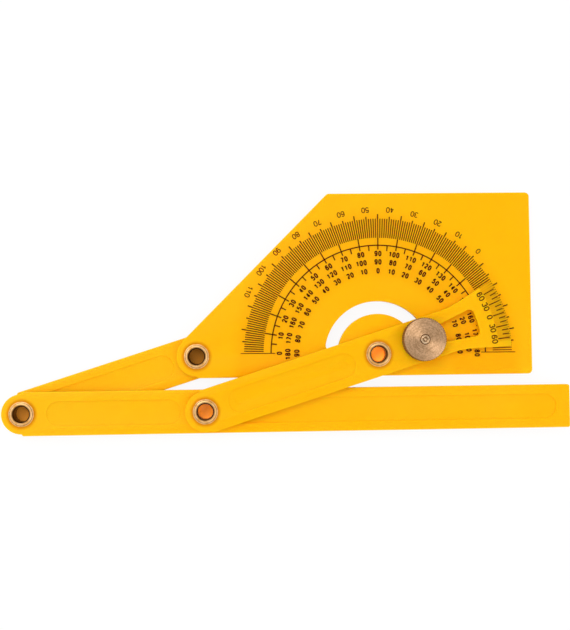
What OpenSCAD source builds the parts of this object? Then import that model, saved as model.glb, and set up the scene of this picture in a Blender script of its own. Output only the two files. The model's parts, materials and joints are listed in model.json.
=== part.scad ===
// Folding protractor square: a scale plate, a pointer arm, a long straight-edge blade and a short link,
// riveted with four hollow eyelets into an equal-sided parallelogram, and locked by a knurled thumb nut.
// The origin is on the axis of the centre eyelet, at the back face of the scale plate.
// +X runs along the scale's base line, +Y towards its 90 degree mark and +Z out of the printed front.

/* [Linkage] */
// Distance between neighbouring pivots, the same along all four sides of the parallelogram
pivot_pitch = 84; // [75:0.5:140]
// Angle that the pointer arm stands at, from the base line of the scale
rest_angle = 17.5; // [15:0.5:165]

/* [Moulded bars] */
// Width of the arm, the blade and the link
bar_w = 20; // [17:0.5:22]
// How much smaller than half the bar's width the round ear at a pivot is
ear_step = 0.8; // [0.2:0.1:1.5]
// Thickness of the scale plate and the blade, which share the middle layer
mid_t = 3; // [2:0.1:5]
// Thickness of the pointer arm
arm_t = 3; // [2:0.1:5]
// Thickness of the short link
link_t = 3; // [2:0.1:5]
// Free gap between two layers that turn on each other
layer_gap = 0.1; // [0.05:0.05:0.3]
// Length of the blade from the apex pivot to its square end
blade_len = 254; // [200:1:400]
// Radius of the blade's two square-end corners
blade_corner_r = 1; // [0.3:0.1:4]

/* [Moulded pockets] */
// Width of the shallow pockets in the bars' front faces
pocket_w = 11.4; // [6:0.1:14]
// Depth of the shallow pockets
pocket_deep = 0.45; // [0.2:0.05:1.2]
// Distance from a pivot to the nearest end of a pocket
pocket_inset = 11.3; // [8:0.1:20]
// Distance from the blade's square end to the end of its long pocket
pocket_end_inset = 6.4; // [3:0.1:20]
// Diameter of the ejector-pin marks in the arm's pocket
ejector_d = 3.6; // [2:0.1:5]
// Depth of the ejector-pin marks below the pocket's floor
ejector_deep = 0.12; // [0.05:0.01:0.3]
// Distance from a pivot to the nearest ejector-pin mark
ejector_inset = 16.4; // [14:0.1:30]

/* [Scale plate] */
// Distance from the centre pivot to the plate's right edge
plate_right = 72.5; // [66:0.5:120]
// Distance from the centre pivot up to the plate's top edge
plate_top = 75; // [69:0.5:120]
// Distance from the pivots down to the plate's base edge
base_drop = 10; // [9.3:0.1:14]
// Distance from the heel pivot to the plate's 45 degree edge
diagonal_reach = 9.6; // [9.2:0.1:16]
// Radius of the plate's free corners
plate_corner_r = 2; // [0.5:0.1:6]
// Radius of the arc slot's centre line, where the lock stud travels
slot_r = 21.7; // [19:0.1:24]
// Width of the arc slot
slot_w = 5.9; // [5.7:0.1:8]
// Angle from the base line to the centre of the arc slot's first round end
slot_end_angle = 12; // [8:0.5:14]

/* [Pointer arm] */
// Radius of the arm's curved tip about the centre pivot
tip_r = 62.7; // [57:0.1:66]
// Angle from the arm's centre line to either side of its fan-shaped tip
fan_half_angle = 14.7; // [12.5:0.1:20]
// Radius of the concave blend between the bar's sides and the fan
fan_blend_r = 40; // [10:1:60]
// Radius about the centre pivot at which the tip's bevel starts
bevel_r = 52.5; // [50:0.5:55]
// Thickness left at the tip's edge
tip_edge_t = 0.8; // [0.4:0.1:1.8]
// Radius about the centre pivot of the reading window's inner end
window_in_r = 30.5; // [28:0.5:36]
// Radius about the centre pivot of the reading window's outer end
window_out_r = 48.5; // [42:0.5:49.5]
// Angle from the arm's centre line to either side of the reading window
window_half_angle = 8; // [6:0.1:10]
// Radius of the reading window's two outer corners
window_corner_r = 2.3; // [0.5:0.1:3]

/* [Eyelets] */
// Diameter of the hole through each eyelet
eyelet_bore_d = 7; // [5:0.1:7.4]
// Thickness of the eyelet's barrel
eyelet_wall = 0.4; // [0.25:0.05:0.6]
// Diameter of the eyelet's flat head on the back
eyelet_head_d = 11.3; // [10:0.1:13]
// Thickness of the eyelet's flat head
eyelet_head_t = 0.5; // [0.3:0.05:1]
// Outer diameter of the lip that is rolled over the washer
lip_d = 10.4; // [9.9:0.1:10.8]
// Height of the rolled lip above the washer
lip_h = 0.5; // [0.47:0.01:0.9]
// Radius of the flare from the bore to the lip's crown
lip_flare_r = 0.8; // [0.5:0.05:1]
// Rounding of the lip's outer edge
lip_round_r = 0.45; // [0.1:0.05:0.45]
// Rounding of the head's outer edge and of the stud's end
rim_round_r = 0.25; // [0.05:0.05:0.28]
// Outer diameter of the washer under the rolled lip
washer_d = 11.5; // [11:0.1:13]
// Thickness of the washer
washer_t = 0.4; // [0.2:0.05:0.8]

/* [Lock stud and thumb nut] */
// Diameter of the threaded stud
stud_d = 4; // [3.5:0.5:4]
// Diameter of the stud's flat head under the plate
stud_head_d = 9; // [8.5:0.1:11]
// Thickness of the stud's head
stud_head_t = 1.2; // [0.8:0.1:1.6]
// Distance from the arm's front face down to the top of the stud's square neck
neck_below = 0.75; // [0.5:0.05:1]
// Height of the stud's end above the nut's face
stud_proud = 0.2; // [0:0.05:1]
// Diameter of the dimple in the stud's end
dimple_d = 2.6; // [1.5:0.1:2.8]
// Diameter of the dimple's flat floor
dimple_floor_d = 0.8; // [0.3:0.1:1.2]
// Depth of the dimple in the stud's end
dimple_deep = 0.8; // [0.3:0.1:1.5]
// Diameter of the thumb nut over its knurl
nut_d = 20; // [16:0.5:22]
// Height of the thumb nut
nut_h = 6; // [4:0.5:10]
// Number of straight teeth in the knurl
knurl_count = 60; // [30:2:80]
// Depth of the knurl's grooves
knurl_deep = 0.35; // [0.15:0.05:0.5]
// Bevel round the nut's two rims
nut_rim = 0.4; // [0.2:0.05:0.8]
// Diameter of the countersunk mouth of the nut's hole
nut_mouth_d = 4.9; // [4.8:0.1:6]

/* [Fits] */
// Radial clearance between an eyelet's barrel, its bores and its washer, and between nut and stud
pivot_clear = 0.05; // [0.03:0.01:0.09]
// Clearance under heads, washers and the nut
seat_clear = 0.05; // [0.02:0.01:0.1]
// Clearance on each side of the stud's square neck in the arm
neck_clear = 0.1; // [0.05:0.05:0.2]

/* [Hidden] */

$fn = 96;
// Overshoot that keeps a cutting solid clear of the face that it cuts
over = 1;
// How far the straight steps of an outline's arc may lie inside the true curve
arc_error = 0.01;
yellow = "#FDB813";
brass = "#E8C48A";
bronze = "#C9A27C";

// Places of the four pivots, with the centre pivot at the origin
centre_at = [0, 0];
heel_at = [-pivot_pitch, 0];
blade_at = -pivot_pitch * [cos(rest_angle), sin(rest_angle)];
apex_at = heel_at + blade_at;

ear_r = bar_w / 2 - ear_step;
barrel_r = eyelet_bore_d / 2 + eyelet_wall;
bore_r = barrel_r + pivot_clear;

// Heights of the three layers
arm_z = mid_t + layer_gap;
arm_top = arm_z + arm_t;
link_z = -layer_gap - link_t;

// The 45 degree edge runs at diagonal_reach from the heel pivot
diagonal_angle = 45;
diagonal_normal = [-sin(diagonal_angle), cos(diagonal_angle)];
diagonal_foot = heel_at + diagonal_reach * diagonal_normal;
diagonal_top_x = diagonal_foot[0] + (plate_top - diagonal_foot[1]) / tan(diagonal_angle);

// Points of an arc, in steps that stay within arc_error of the true curve
function arc(at, r, from, to) =
    let (steps = ceil(abs(to - from) / 2 / acos(1 - arc_error / r)))
    [for (i = [0 : steps]) let (a = from + (to - from) * i / steps) at + r * [cos(a), sin(a)]];

// The same points mirrored in the X axis and in reverse order
function mirrored(points) = [for (i = [len(points) - 1 : -1 : 0]) [points[i][0], -points[i][1]]];

// A square corner rounded by radius r; sx and sy point from its centre to the corner
function round_corner(x, y, r, sx, sy) =
    let (mid = atan2(sy, sx))
    arc([x - sx * r, y - sy * r], r, mid - 45, mid + 45);

// The stretch of a bar from one pivot's ear to an end at x = length, with small shoulders at the ear
module ear_and_bar(length) {
    circle(r = ear_r);
    polygon([
        [0, -ear_r], [ear_step, -bar_w / 2], [length, -bar_w / 2],
        [length, bar_w / 2], [ear_step, bar_w / 2], [0, ear_r]
    ]);
}

// A shallow pocket with round ends, from x = from to x = to, cut down from height top
module pocket(from, to, top) {
    translate([0, 0, top - pocket_deep]) linear_extrude(pocket_deep + over) {
        translate([from + pocket_w / 2, 0]) circle(d = pocket_w);
        translate([to - pocket_w / 2, 0]) circle(d = pocket_w);
        translate([from + pocket_w / 2, -pocket_w / 2]) square([to - from - pocket_w, pocket_w]);
    }
}

// Outline of the arc slot, on its centre line of radius slot_r, with round ends
module slot_outline() {
    from = slot_end_angle;
    to = 180 - slot_end_angle;
    polygon(concat(
        arc(centre_at, slot_r + slot_w / 2, from, to),
        arc(slot_r * [cos(to), sin(to)], slot_w / 2, to, to + 180),
        arc(centre_at, slot_r - slot_w / 2, to, from),
        arc(slot_r * [cos(from), sin(from)], slot_w / 2, from - 180, from)
    ));
}

// The blank of the scale plate: heel ear, base edge, two square corners and the 45 degree edge
module plate_outline() {
    translate(heel_at) circle(r = ear_r);
    blunt_at = [diagonal_top_x + plate_corner_r * tan(diagonal_angle / 2), plate_top - plate_corner_r];
    polygon(concat(
        [heel_at, heel_at - [0, ear_r], heel_at + [base_drop - ear_r, -base_drop]],
        round_corner(plate_right, -base_drop, plate_corner_r, 1, -1),
        round_corner(plate_right, plate_top, plate_corner_r, 1, 1),
        arc(blunt_at, plate_corner_r, 90, 90 + diagonal_angle),
        [diagonal_foot]
    ));
}

module protractor_plate() {
    color(yellow) linear_extrude(mid_t) difference() {
        plate_outline();
        slot_outline();
        translate(centre_at) circle(r = bore_r);
        translate(heel_at) circle(r = bore_r);
    }
}

// The reading window, an arc-ended slot that widens outwards, with two rounded outer corners
module window_outline() {
    inset = asin(window_corner_r / (window_out_r - window_corner_r));
    turn = window_half_angle - inset;
    corner_r = window_out_r - window_corner_r;
    polygon(concat(
        arc([0, 0], window_in_r, window_half_angle, -window_half_angle),
        arc(corner_r * [cos(turn), -sin(turn)], window_corner_r, -window_half_angle - 90, -turn),
        arc([0, 0], window_out_r, -turn, turn),
        arc(corner_r * [cos(turn), sin(turn)], window_corner_r, turn, window_half_angle + 90)
    ));
}

// The pointer arm in its own axes, with its centre pivot at the origin and its tip along +X.
// A concave blend joins each side of the bar to a side of the fan, which points at the centre pivot.
module arm_outline() {
    blend_x = bar_w / 2 / tan(fan_half_angle) - fan_blend_r * tan(fan_half_angle / 2);
    blend_y = bar_w / 2 + fan_blend_r;
    reach = tip_r + over;
    lower_side = concat(
        [[-pivot_pitch / 2, -bar_w / 2]],
        arc([blend_x, -blend_y], fan_blend_r, 90, 90 - fan_half_angle),
        [[reach, -reach * tan(fan_half_angle)]]
    );
    translate([-pivot_pitch, 0]) ear_and_bar(pivot_pitch / 2);
    polygon(concat(lower_side, mirrored(lower_side)));
}

// What is cut off the arm's blank to leave its curved tip, bevelled on the front
module beyond_tip() {
    far = (tip_r + 2 * over) / cos(fan_half_angle);
    intersection() {
        rotate_extrude($fn = 180) polygon([
            [bevel_r, arm_t], [tip_r, tip_edge_t], [tip_r, -over],
            [far, -over], [far, arm_t + over], [bevel_r, arm_t + over]
        ]);
        translate([0, -far, -over]) cube([far + over, 2 * far, arm_t + 2 * over]);
    }
}

module pointer_arm() {
    neck_hole = stud_d + 2 * neck_clear;
    color(yellow) translate([0, 0, arm_z]) rotate(rest_angle) difference() {
        linear_extrude(arm_t) difference() {
            arm_outline();
            circle(r = bore_r);
            translate([-pivot_pitch, 0]) circle(r = bore_r);
            translate([slot_r, 0]) square(neck_hole, center = true);
            window_outline();
        }
        beyond_tip();
        pocket(pocket_inset - pivot_pitch, -pocket_inset, arm_t);
        for (x = [ejector_inset - pivot_pitch, -ejector_inset])
            translate([x, 0, arm_t - pocket_deep - ejector_deep]) cylinder(d = ejector_d, h = arm_t);
    }
}

module blade_outline() {
    difference() {
        ear_and_bar(blade_len);
        for (side = [-1, 1]) translate([blade_len, side * bar_w / 2]) difference() {
            square(2 * blade_corner_r, center = true);
            translate([-blade_corner_r, -side * blade_corner_r]) circle(r = blade_corner_r);
        }
    }
}

module long_blade() {
    color(yellow) translate(apex_at) difference() {
        linear_extrude(mid_t) difference() {
            blade_outline();
            circle(r = bore_r);
            translate([pivot_pitch, 0]) circle(r = bore_r);
        }
        pocket(pocket_inset, pivot_pitch - pocket_inset, mid_t);
        pocket(pivot_pitch + pocket_inset, blade_len - pocket_end_inset, mid_t);
    }
}

module short_link() {
    color(yellow) translate([apex_at[0], apex_at[1], link_z]) rotate(rest_angle) difference() {
        linear_extrude(link_t) difference() {
            union() {
                ear_and_bar(pivot_pitch / 2);
                translate([pivot_pitch, 0]) rotate(180) ear_and_bar(pivot_pitch / 2);
            }
            circle(r = bore_r);
            translate([pivot_pitch, 0]) circle(r = bore_r);
        }
        pocket(pocket_inset, pivot_pitch - pocket_inset, link_t);
    }
}

// The part of a square corner that lies outside a rounding of radius r, for a profile in r and z.
// The corner is at the given point, and sx and sy point from the material towards it.
module outside_of_round(corner, r, sx, sy) {
    translate(corner - [sx * r, sy * r]) difference() {
        translate([min(0, sx * (r + over)), min(0, sy * (r + over))]) square(r + over);
        circle(r = r, $fn = 48);
    }
}

// A hollow rivet through a stack from z = low to z = high: flat head below, lip rolled over a washer above
module eyelet(at, low, high) {
    hole_r = eyelet_bore_d / 2;
    head_z = low - seat_clear - eyelet_head_t;
    lip_z = high + seat_clear + washer_t;
    color(brass) translate(at) rotate_extrude() difference() {
        union() {
            translate([hole_r, head_z]) square([eyelet_wall, lip_z + lip_h - head_z]);
            translate([hole_r, head_z]) square([eyelet_head_d / 2 - hole_r, eyelet_head_t]);
            translate([hole_r, lip_z]) square([lip_d / 2 - hole_r, lip_h]);
        }
        outside_of_round([eyelet_head_d / 2, head_z], rim_round_r, 1, -1);
        outside_of_round([lip_d / 2, lip_z + lip_h], lip_round_r, 1, 1);
        outside_of_round([hole_r, head_z], eyelet_head_t, -1, -1);
        outside_of_round([hole_r, lip_z + lip_h], lip_flare_r, -1, 1);
    }
}

// The flat washer that an eyelet's lip is rolled over, on a stack whose top is at z = high
module clinch_washer(at, high) {
    color(brass) translate([at[0], at[1], high + seat_clear]) difference() {
        cylinder(d = washer_d, h = washer_t);
        translate([0, 0, -over]) cylinder(r = bore_r, h = washer_t + 2 * over);
    }
}

module centre_eyelet() { eyelet(centre_at, 0, arm_top); }
module heel_eyelet() { eyelet(heel_at, link_z, mid_t); }
module blade_eyelet() { eyelet(blade_at, 0, arm_top); }
module apex_eyelet() { eyelet(apex_at, link_z, mid_t); }
module centre_washer() { clinch_washer(centre_at, arm_top); }
module heel_washer() { clinch_washer(heel_at, mid_t); }
module blade_washer() { clinch_washer(blade_at, arm_top); }
module apex_washer() { clinch_washer(apex_at, mid_t); }

// Height of the thumb nut's lower face, on the arm
nut_z = arm_top + seat_clear;

// A conical recess, cut down from height top by deep and narrowing from top_d to floor_d
module recess(top, deep, top_d, floor_d) {
    rotate_extrude() polygon([
        [0, top - deep], [floor_d / 2, top - deep], [top_d / 2, top],
        [top_d / 2, top + over], [0, top + over]
    ]);
}

// Stud with a flat head behind the plate, a square neck that the arm keeps from turning, and a dimpled end
module lock_stud() {
    head_z = -seat_clear - stud_head_t;
    neck_h = arm_top - neck_below - head_z;
    end_z = nut_z + nut_h + stud_proud;
    color(brass) rotate(rest_angle) translate([slot_r, 0]) difference() {
        union() {
            translate([0, 0, head_z]) cylinder(d = stud_head_d, h = stud_head_t);
            translate([0, 0, head_z + neck_h / 2]) cube([stud_d, stud_d, neck_h], center = true);
            translate([0, 0, head_z]) cylinder(d = stud_d, h = end_z - head_z);
        }
        recess(end_z, dimple_deep, dimple_d, dimple_floor_d);
        rotate_extrude() outside_of_round([stud_d / 2, end_z], rim_round_r, 1, 1);
    }
}

// Outline of the knurl: teeth of equal pitch round the nut
module knurl_outline() {
    step = 360 / knurl_count;
    polygon([
        for (i = [0 : knurl_count - 1], k = [0, 1])
            (nut_d / 2 - k * knurl_deep) * [cos((i + k / 2) * step), sin((i + k / 2) * step)]
    ]);
}

// The two bevels run on past the knurl's teeth, which they trim
module thumb_nut() {
    rim_r = nut_d / 2 - nut_rim;
    run = nut_rim + over;
    color(bronze) rotate(rest_angle) translate([slot_r, 0, nut_z]) difference() {
        intersection() {
            linear_extrude(nut_h) knurl_outline();
            rotate_extrude() polygon([
                [0, 0], [rim_r, 0], [rim_r + run, run],
                [rim_r + run, nut_h - run], [rim_r, nut_h], [0, nut_h]
            ]);
        }
        translate([0, 0, -over]) cylinder(d = stud_d + 2 * pivot_clear, h = nut_h + 2 * over);
        recess(nut_h, (nut_mouth_d - stud_d) / 2, nut_mouth_d, stud_d);
    }
}

protractor_plate();
pointer_arm();
long_blade();
short_link();
centre_eyelet();
heel_eyelet();
blade_eyelet();
apex_eyelet();
centre_washer();
heel_washer();
blade_washer();
apex_washer();
lock_stud();
thumb_nut();
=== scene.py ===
"""Dress the folding protractor square: moulded bars, printed scales, brass eyelets and a thumb nut."""
import json
import math

import bmesh
import bpy
from bpy.props import FloatProperty, FloatVectorProperty, IntProperty, PointerProperty, StringProperty
from mathutils import Matrix, Vector


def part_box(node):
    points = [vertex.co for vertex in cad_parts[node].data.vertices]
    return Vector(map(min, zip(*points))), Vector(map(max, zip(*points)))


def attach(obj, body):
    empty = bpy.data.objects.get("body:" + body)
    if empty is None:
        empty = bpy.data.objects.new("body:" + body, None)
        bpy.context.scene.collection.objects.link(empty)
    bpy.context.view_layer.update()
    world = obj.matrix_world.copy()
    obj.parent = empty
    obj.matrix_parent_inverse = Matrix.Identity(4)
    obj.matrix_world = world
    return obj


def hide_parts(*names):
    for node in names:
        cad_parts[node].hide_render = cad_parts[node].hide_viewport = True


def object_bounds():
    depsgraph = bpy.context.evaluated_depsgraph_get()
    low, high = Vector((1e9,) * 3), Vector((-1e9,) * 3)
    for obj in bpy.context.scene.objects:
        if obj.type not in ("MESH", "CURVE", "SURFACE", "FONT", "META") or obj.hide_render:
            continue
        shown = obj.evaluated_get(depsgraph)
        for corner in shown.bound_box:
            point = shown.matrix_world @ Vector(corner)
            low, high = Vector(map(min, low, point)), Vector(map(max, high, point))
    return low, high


bl_info = {
    "name": "Folding Protractor Square",
    "version": (1, 0, 0),
    "blender": (4, 5, 0),
    "location": "3D View > Sidebar > Square",
    "description": "Dresses a folding protractor square with plastic, print and metal",
    "category": "Add Mesh",
}

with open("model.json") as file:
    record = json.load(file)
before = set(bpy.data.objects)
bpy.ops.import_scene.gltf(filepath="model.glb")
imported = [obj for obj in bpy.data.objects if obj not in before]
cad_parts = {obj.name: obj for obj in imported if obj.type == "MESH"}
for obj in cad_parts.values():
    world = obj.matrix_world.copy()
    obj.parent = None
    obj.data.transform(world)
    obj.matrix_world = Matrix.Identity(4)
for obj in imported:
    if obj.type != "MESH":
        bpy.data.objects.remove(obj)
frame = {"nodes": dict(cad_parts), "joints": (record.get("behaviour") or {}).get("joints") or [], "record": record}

MM = 0.001
DEGREE = math.pi / 180
FULL_TURN = 2 * math.pi
# A hair's breadth that keeps print clear of the surface below it
PRINT_LIFT = 0.012 * MM
# A face whose normal rises less than this is a wall
WALL_SLOPE = 0.5
# Inputs of the geometry trees that are not plain floats
SOCKET_KINDS = {"Count": "NodeSocketInt", "Middle": "NodeSocketVector"}

mounts = {mount["name"]: mount for mount in frame["record"]["mounts"]}
joints = {joint["name"]: joint for joint in frame["joints"]}
centre_at = Vector(mounts["centre_bore"]["pos_m"])
apex_at = Vector(mounts["apex_bore"]["pos_m"])
heel_at = Vector(mounts["heel_bore"]["pos_m"])
blade_at = Vector(mounts["blade_bore"]["pos_m"])
nut_at = Vector(joints["nut_turn"]["pos_m"])
bore_r = mounts["centre_bore"]["dims"]["r_mm"] * MM
arm_angle = math.atan2(centre_at.y - blade_at.y, centre_at.x - blade_at.x)
plate_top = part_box("protractor_plate")[1].z
arm_low, arm_top = (corner.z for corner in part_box("pointer_arm"))
floor_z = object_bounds()[0][2]


def size_mm(name, description, millimetres):
    """A size that the user can change, given in millimetres."""
    default = millimetres * MM
    return FloatProperty(name=name, description=description, default=default, unit="LENGTH", precision=5)


def angle_deg(name, description, degrees):
    """An angle that the user can change, given in degrees."""
    return FloatProperty(name=name, description=description, default=degrees * DEGREE, subtype="ANGLE")


def place_m(name, description, *place):
    """A place or a shift that the user can change, in metres."""
    return FloatVectorProperty(
        name=name, description=description, default=place, size=len(place), subtype="TRANSLATION",
        unit="LENGTH", precision=5,
    )


def power_w(name, description, watts):
    """A light's power that the user can change, in watts."""
    return FloatProperty(name=name, description=description, default=watts, unit="POWER", min=0)


def whole(name, description, number):
    """A whole number that the user can change."""
    return IntProperty(name=name, description=description, default=number, min=1)


def hex_colour(name, description, hex_value):
    """A colour that the user can change, as sRGB hex."""
    return StringProperty(name=name, description=description + ", as sRGB hex", default=hex_value)


class MouldingSettings(bpy.types.PropertyGroup):
    """Sizes and colours of the four moulded pieces."""

    edge_radius: size_mm("Edge radius", "Rounding of the outer edges", 0.32)
    pocket_radius: size_mm("Pocket radius", "Rounding of the shallow pockets' edges", 0.3)
    glow: size_mm("Glow depth", "How far light wanders in the plastic", 5)
    colour: hex_colour("Plastic", "Main colour", "#FFB600")
    # Painted sheen towards the apex end, mixed with paler flow streaks at random
    pale_colour: hex_colour("Pale plastic", "Colour where the melt flowed last", "#FFBB16")
    # Painted shade in the band of the printed scale
    print_colour: hex_colour("Plastic under print", "Colour between the marks", "#FFAE00")
    print_from: size_mm("Print start", "Radius at which the marks start to soak up light", 36)
    print_to: size_mm("Print end", "Radius at which the marks stop soaking up light", 66)
    # Painted contact shade in the plastic round the washers
    seam_colour: hex_colour("Seam", "Colour close round the washers", "#E89000")
    seam_from: size_mm("Seam start", "Radius at which the seam starts to fade", 6)
    seam_to: size_mm("Seam end", "Radius at which the seam has faded", 7.6)
    # Painted view of the dark scale through the thin tip
    tip_colour: hex_colour("Tip", "Colour of the thin tip over the dark scale", "#E6A000")
    line_colour: hex_colour("Lines", "Colour of the scale's lines below the tip's edge", "#8C5200")
    tip_from: size_mm("Tint start", "Radius at which the scale starts to show through the tip", 56.2)


class ScaleSettings(bpy.types.PropertyGroup):
    """Radii, widths and colour of the plate's printed scale."""

    ring_r: size_mm("Ring radius", "Radius of the printed ring", 50.05)
    ten_from: size_mm("Ten degree tick start", "Inner radius of the ten degree ticks", 48.1)
    five_from: size_mm("Five degree tick start", "Inner radius of the ticks between the tens", 47.5)
    degree_from: size_mm("Degree tick start", "Inner radius of the one degree ticks", 53.55)
    degree_to: size_mm("Degree tick end", "Outer radius of the one degree ticks", 62.5)
    five_to: size_mm("Five degree tick end", "Outer radius of the five degree ticks", 63.6)
    base_to: size_mm("Base line end", "Outer radius of the two base lines", 64.1)
    ten_to: size_mm("Ten degree tick end", "Outer radius of the ten degree ticks", 64.65)
    base_w: size_mm("Base line width", "Width of the base lines and the two ticks by the right one", 0.34)
    line_w: size_mm("Line width", "Width of the long lines and the ring", 0.55)
    degree_w: size_mm("Degree line width", "Width of the one degree ticks", 0.47)
    digit_h: size_mm("Digit height", "Height of the digits", 2.6)
    digit_w: size_mm("Digit width", "Width of an inner nought", 1.56)
    digit_pitch: size_mm("Digit pitch", "Advance from one inner digit to the next", 1.8)
    digit_stroke: size_mm("Digit stroke", "Width of the inner digits' strokes", 0.6)
    row_a_r: size_mm("First row", "Radius of the first inner row of numbers", 46.2)
    row_b_r: size_mm("Second row", "Radius of the second inner row", 42.3)
    row_c_r: size_mm("Third row", "Radius of the third inner row", 38.15)
    outer_r: size_mm("Outer row", "Radius of the outer row of numbers", 66.7)
    outer_w: size_mm("Outer digit width", "Width of an outer nought", 1.75)
    outer_pitch: size_mm("Outer digit pitch", "Advance from one outer digit to the next", 1.88)
    outer_stroke: size_mm("Outer digit stroke", "Width of the outer digits' strokes", 0.38)
    long_lag: size_mm("Long number lag", "How far numbers of three digits sit to the left", 0.5)
    right_lag: size_mm("Right half lag", "How far the two inmost rows sit to the left, right of 90", 0.4)
    end_lag: size_mm("End lag", "How far the two inmost rows sit to the left at the right base line", 1)
    straight_mark: whole("Straight mark", "Degree mark whose numbers have no lag", 30)
    shift: place_m("Print shift", "How far the print sits from its true place", 0.45 * MM, 0.65 * MM)
    skew: angle_deg("Print turn", "Turn of the print about the centre pivot", -0.42)
    thickness: size_mm("Print thickness", "Thickness of the dried ink", 0.02)
    ink: hex_colour("Ink", "Colour of the scale's ink", "#521600")


class VernierSettings(bpy.types.PropertyGroup):
    """The printed vernier on the pointer arm's bevelled tip."""

    long_from: size_mm("Long tick start", "Inner radius of the long ticks", 56.5)
    short_from: size_mm("Short tick start", "Inner radius of the short ticks", 59)
    tick_to: size_mm("Tick end", "Outer radius of the ticks", 62.2)
    tick_w: size_mm("Tick width", "Width of the ticks", 0.5)
    half_span: angle_deg("Half span", "Angle from the zero tick to the last one", 11)
    side_ticks: whole("Ticks on a side", "Number of ticks on each side of the zero", 6)
    long_step: whole("Long tick step", "Number of steps from one long tick to the next", 3)
    digit_r: size_mm("Digit radius", "Radius of the numbers", 54.75)
    digit_h: size_mm("Digit height", "Height of the digits", 2.95)
    digit_w: size_mm("Digit width", "Width of a nought", 1.95)
    digit_pitch: size_mm("Digit pitch", "Advance from one digit to the next", 2.15)
    digit_stroke: size_mm("Digit stroke", "Width of the digits' strokes", 0.5)
    bevel_r: size_mm("Bevel start", "Radius at which the tip's bevel starts", 52.5)
    tip_r: size_mm("Tip radius", "Radius of the arm's curved tip", 62.7)
    tip_edge: size_mm("Edge thickness", "Thickness left at the tip's edge", 0.8)
    ink: hex_colour("Ink", "Colour of the vernier's ink", "#5A2C00")


class EyeletSettings(bpy.types.PropertyGroup):
    """The hollow rivets and their washers."""

    wall: size_mm("Wall", "Thickness of the barrel's wall", 0.4)
    head_t: size_mm("Head thickness", "Thickness of the flat head on the back", 0.5)
    lip_d: size_mm("Lip diameter", "Outer diameter of the rolled lip", 10.4)
    lip_h: size_mm("Lip height", "Height of the rolled lip above the washer", 0.5)
    lip_round: size_mm("Lip rounding", "Rounding of the lip's outer edge", 0.45)
    tuck: size_mm("Lip tuck", "Rounding under the lip, where it meets the washer", 0.14)
    flare_r: size_mm("Flare radius", "Radius of the flare from the bore to the lip", 0.8)
    rim_r: size_mm("Rim rounding", "Rounding of the head's outer edge", 0.25)
    punch_r: size_mm("Punched rounding", "Rounding of the washer's punched edge", 0.13)
    slack: size_mm("Washer slack", "Gap between the barrel and the washer's hole", 0.05)
    brass: hex_colour("Brass", "Colour of the bright brass", "#F2C284")
    dull: hex_colour("Dull brass", "Colour where it is worn dull", "#D89C4E")
    # Painted shade inside the barrel and in the crease under the lip
    tarnish: hex_colour("Tarnish", "Colour inside the barrel and in the seam under the lip", "#4E2C0A")


class NutSettings(bpy.types.PropertyGroup):
    """The knurled thumb nut and its stud."""

    tooth_count: whole("Teeth", "Number of straight teeth in the knurl", 60)
    tooth_h: size_mm("Tooth height", "Height of the knurl's teeth", 0.35)
    rim: size_mm("Rim bevel", "Bevel round the nut's two rims", 0.4)
    edge_r: size_mm("Edge rounding", "Rounding of the edge between face and bevel", 0.08)
    hole_d: size_mm("Hole diameter", "Diameter of the nut's hole", 4.1)
    mouth_d: size_mm("Mouth diameter", "Diameter of the hole's countersunk mouth", 4.9)
    stud_d: size_mm("Stud diameter", "Diameter of the stud", 4)
    stud_head_t: size_mm("Stud head thickness", "Thickness of the stud's flat head", 1.2)
    neck_below: size_mm("Neck depth", "Depth of the square neck's end below the arm's front", 0.75)
    round_r: size_mm("Stud rounding", "Rounding of the stud's end and of its head", 0.15)
    dimple_d: size_mm("Dimple diameter", "Diameter of the dimple in the stud's end", 2.6)
    dimple_floor_d: size_mm("Dimple floor", "Diameter of the dimple's floor", 0.8)
    dimple_deep: size_mm("Dimple depth", "Depth of the dimple", 0.8)
    bronze: hex_colour("Bronze", "Colour of the turned bronze", "#D8AE86")
    # Painted highlight: a lighter copy of the bronze, for the stud's end
    bright: hex_colour("Bright bronze", "Colour of the stud's bright end", "#FFE0B8")
    groove: hex_colour("Tool marks", "Colour in the fine turned grooves", "#A8825C")
    # Painted shade on the knurled side and the rim
    edge: hex_colour("Rim tarnish", "Colour of the tarnished outer edge", "#7E5A34")
    # Painted shade in the gap round the stud and in its dimple
    dirt: hex_colour("Dirt", "Colour of the dirt round the stud and in its dimple", "#7A5A38")


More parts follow.
